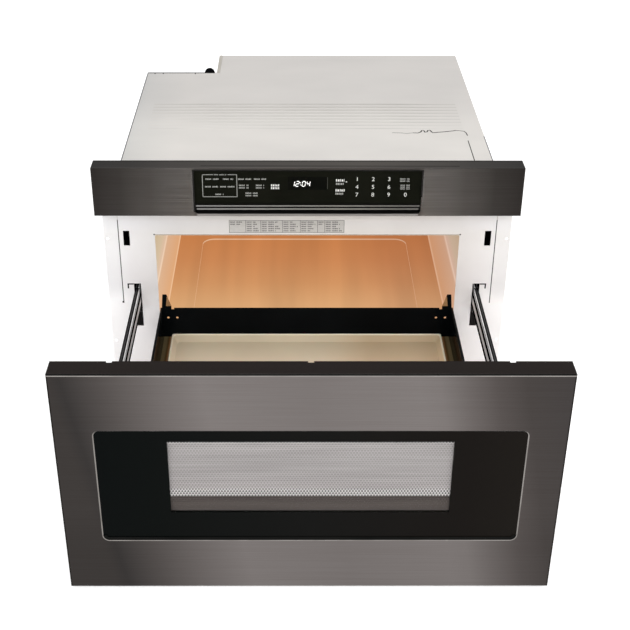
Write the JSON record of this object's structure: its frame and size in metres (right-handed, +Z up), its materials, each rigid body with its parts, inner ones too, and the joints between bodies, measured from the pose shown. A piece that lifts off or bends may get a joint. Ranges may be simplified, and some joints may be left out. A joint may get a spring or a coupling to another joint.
{
  "type": "microwave drawer",
  "caption": "Built-in microwave oven whose windowed front, basket and tray roll out of a fixed cavity on ball slides, with a touch panel above.",
  "frame": {"origin": "centre of the cabinet's underside, which stands on the floor of the kitchen cabinet's opening", "axes": "+X to the right as seen from the front, +Y into the cabinet, +Z up; the drawer opens towards -Y and is fully open in the stored pose"},
  "size_m": [0.606, 0.99, 0.404],
  "materials": {
    "case_paint": "smooth light grey paint",
    "galvanised": "galvanised sheet",
    "plate_paint": "satin white enamel",
    "black_steel": "horizontally brushed black stainless",
    "trim_paint": "satin dark paint",
    "black_plastic": "moulded",
    "black_glass": "printed touch glass",
    "window": "dark tinted",
    "clear_glass": "clear",
    "screen": "perforated black sheet",
    "zinc_screws": "zinc plated",
    "cavity_steel": "bright oven interior",
    "basket_enamel": "black gloss enamel",
    "tray_ceramic": "beige glass ceramic",
    "slide_steel": "oiled dark steel",
    "ball_steel": "polished balls in a steel cage",
    "aluminium": "sheet",
    "mica": "pressed mica",
    "core_steel": "varnished laminations",
    "copper": "varnished copper winding",
    "board_green": "printed circuit board",
    "white_plastic": "moulded",
    "grey_plastic": "moulded",
    "lamp_glass": "lit",
    "label": "grey printed label",
    "rubber": "moulded"
  },
  "bodies": {
    "cabinet": {"base_pan": "galvanised", "outer_wrap": "case_paint", "rear_panel": "galvanised", "rear_screws": "zinc_screws", "recess_panel": "galvanised", "cord_gland": "rubber", "face_plate": "plate_paint", "setting_chart": "label", "control_panel_skin": "black_steel", "control_panel_back": "galvanised", "key_frame": "black_plastic", "key_glass": "black_glass", "display_module": "black_plastic", "control_board": "board_green", "oven_cavity": "cavity_steel", "stirrer_cover": "mica", "waveguide": "aluminium", "stirrer_motor": "grey_plastic", "magnetron": "aluminium", "transformer_core": "core_steel", "transformer_coils": "copper", "capacitor": "aluminium", "filter_board": "board_green", "fan_shroud": "white_plastic", "fan_motor": "core_steel", "lamp_holder": "galvanised", "oven_lamp": "lamp_glass", "latch_housings": "white_plastic", "interlock_switches": "black_plastic", "slide_cabinet_members": "slide_steel", "slide_mounts": "galvanised", "rack_guides": "white_plastic", "shaft_bearings": "white_plastic", "drive_motor": "grey_plastic"},
    "drawer": {"drawer_front_skin": "black_steel", "drawer_top_trim": "trim_paint", "window_glass": "window", "window_screen": "screen", "inner_frame": "galvanised", "inner_pane": "clear_glass", "choke_cover": "black_plastic", "latch_hooks": "grey_plastic", "drawer_brackets": "galvanised", "bracket_screws": "zinc_screws", "slide_drawer_members": "slide_steel", "basket_side_walls": "basket_enamel", "basket_rear_wall": "basket_enamel", "floor_pan": "basket_enamel", "glass_tray": "tray_ceramic", "racks": "white_plastic"},
    "slide_middles": {"slide_middle_members": "slide_steel"},
    "outer_cages": {"slide_outer_cages": "ball_steel"},
    "inner_cages": {"slide_inner_cages": "ball_steel"},
    "drive_shaft": {"cross_shaft": "zinc_screws", "drive_gears": "white_plastic"},
    "motor_pinion": {"motor_pinion": "zinc_screws"},
    "stirrer": {"stirrer": "aluminium"},
    "fan_wheel": {"fan_wheel": "white_plastic"},
    "plunger_left": {"plunger_left": "white_plastic"},
    "plunger_right": {"plunger_right": "white_plastic"}
  },
  "joints": [
    {"name": "drawer_slide", "type": "slide", "parent": "cabinet", "child": "drawer", "axis": [0, 1, 0], "range_m": [0, 0.3995]},
    {"name": "middle_slide", "type": "slide", "parent": "cabinet", "child": "slide_middles", "axis": [0, 1, 0], "range_m": [0, 0.2]},
    {"name": "outer_cage_slide", "type": "slide", "parent": "cabinet", "child": "outer_cages", "axis": [0, 1, 0], "range_m": [0, 0.1]},
    {"name": "inner_cage_slide", "type": "slide", "parent": "cabinet", "child": "inner_cages", "axis": [0, 1, 0], "range_m": [0, 0.3]},
    {"name": "drive_shaft_turn", "type": "hinge", "parent": "cabinet", "child": "drive_shaft", "pos_m": [0, -0.235, 0.055], "axis": [1, 0, 0], "range_deg": [-1530, 5]},
    {"name": "motor_pinion_turn", "type": "hinge", "parent": "cabinet", "child": "motor_pinion", "pos_m": [0.066, -0.207, 0.055], "axis": [1, 0, 0], "range_deg": [-5, 3820]},
    {"name": "stirrer_turn", "type": "hinge", "parent": "cabinet", "child": "stirrer", "pos_m": [0, -0.07, 0.302], "axis": [0, 0, 1], "continuous": true},
    {"name": "fan_turn", "type": "hinge", "parent": "cabinet", "child": "fan_wheel", "pos_m": [0.073, 0.211, 0.245], "axis": [1, 0, 0], "continuous": true},
    {"name": "plunger_left_press", "type": "slide", "parent": "cabinet", "child": "plunger_left", "axis": [0, 1, 0], "range_m": [0, 0.003], "stiffness_N_per_m": 200, "springref_m": -0.002},
    {"name": "plunger_right_press", "type": "slide", "parent": "cabinet", "child": "plunger_right", "axis": [0, 1, 0], "range_m": [0, 0.003], "stiffness_N_per_m": 200, "springref_m": -0.002}
  ],
  "couplings": [
    {"joint": "middle_slide", "follows": "drawer_slide", "ratio": 0.5},
    {"joint": "outer_cage_slide", "follows": "drawer_slide", "ratio": 0.25},
    {"joint": "inner_cage_slide", "follows": "drawer_slide", "ratio": 0.75},
    {"joint": "drive_shaft_turn", "follows": "drawer_slide", "rad_per_m": -66.667},
    {"joint": "motor_pinion_turn", "follows": "drawer_slide", "rad_per_m": 166.67}
  ]
}
